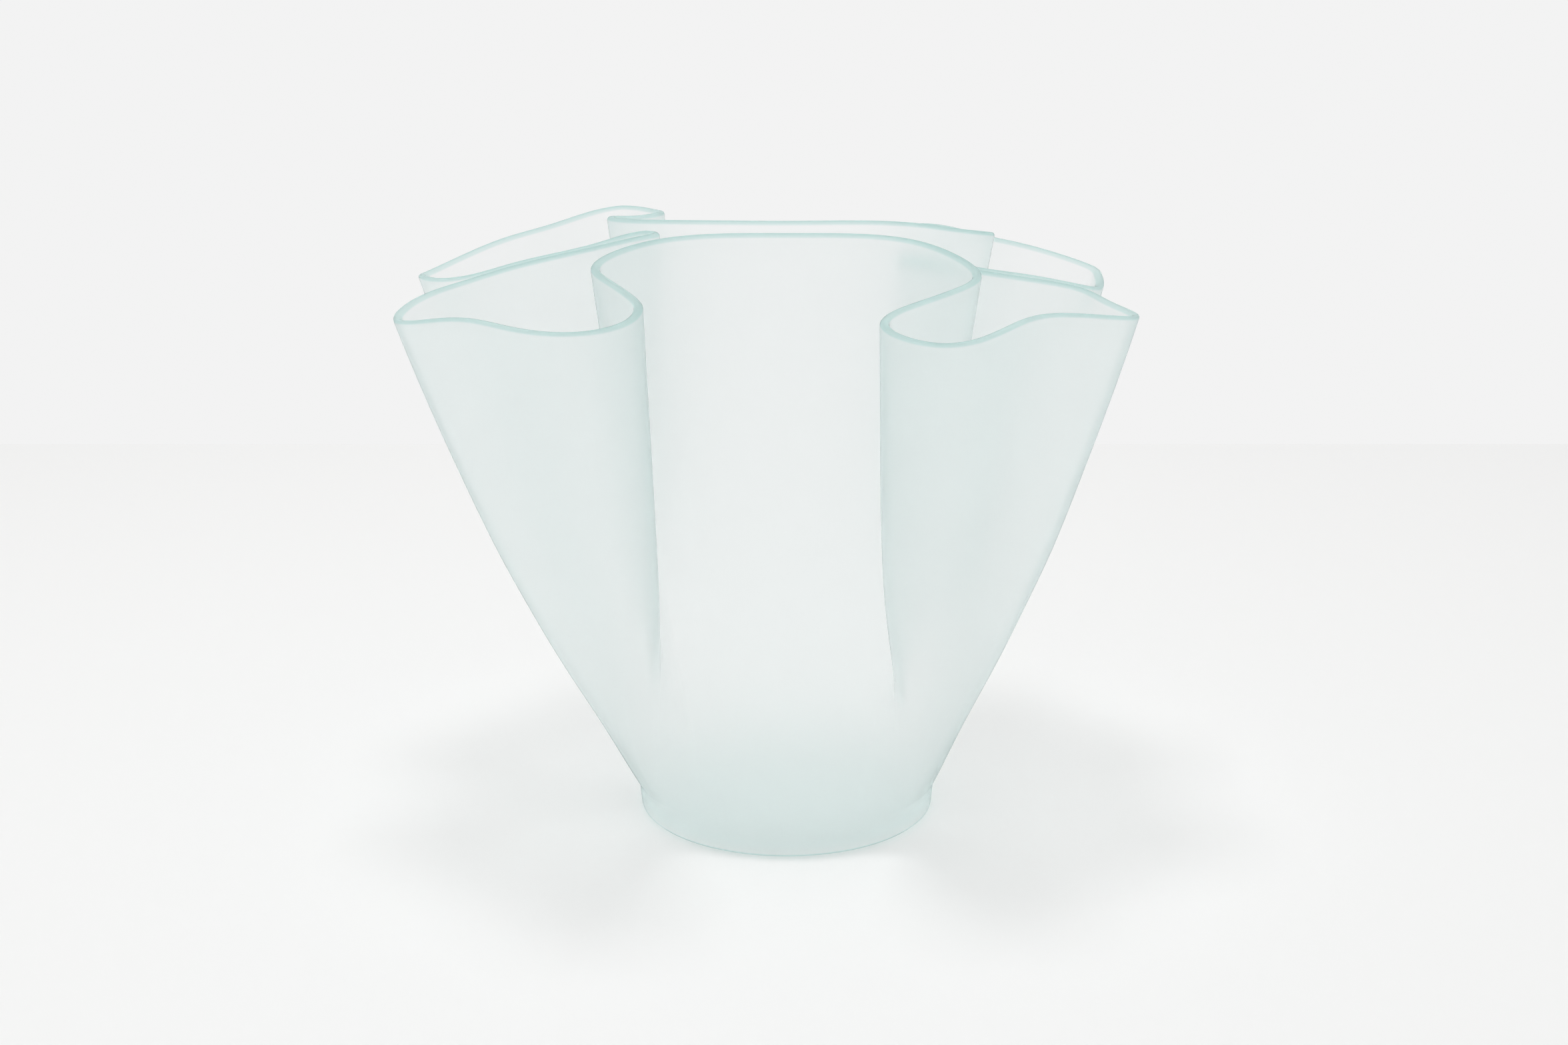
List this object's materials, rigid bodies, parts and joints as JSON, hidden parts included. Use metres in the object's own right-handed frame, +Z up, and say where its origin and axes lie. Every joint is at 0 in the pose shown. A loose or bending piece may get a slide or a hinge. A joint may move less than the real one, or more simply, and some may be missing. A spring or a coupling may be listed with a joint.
{
  "type": "fan vase",
  "caption": "Free-standing flower vase of frosted glass: a wall folded into deep lobes like an open fan, on a short round foot.",
  "frame": {"origin": "centre of the round foot, in the plane it rests on", "axes": "+Z up out of the mouth, +X to the right along the wide way of the fan, front towards -Y"},
  "size_m": [0.325, 0.272, 0.2761],
  "materials": {
    "wall_glass": "frosted, pale aqua",
    "collar_glass": "frosted, pale aqua",
    "floor_glass": "frosted, teal where seen through its edge"
  },
  "bodies": {
    "root": {"fluted_wall": "wall_glass", "foot_collar": "collar_glass", "base_disc": "floor_glass"}
  },
  "joints": []
}
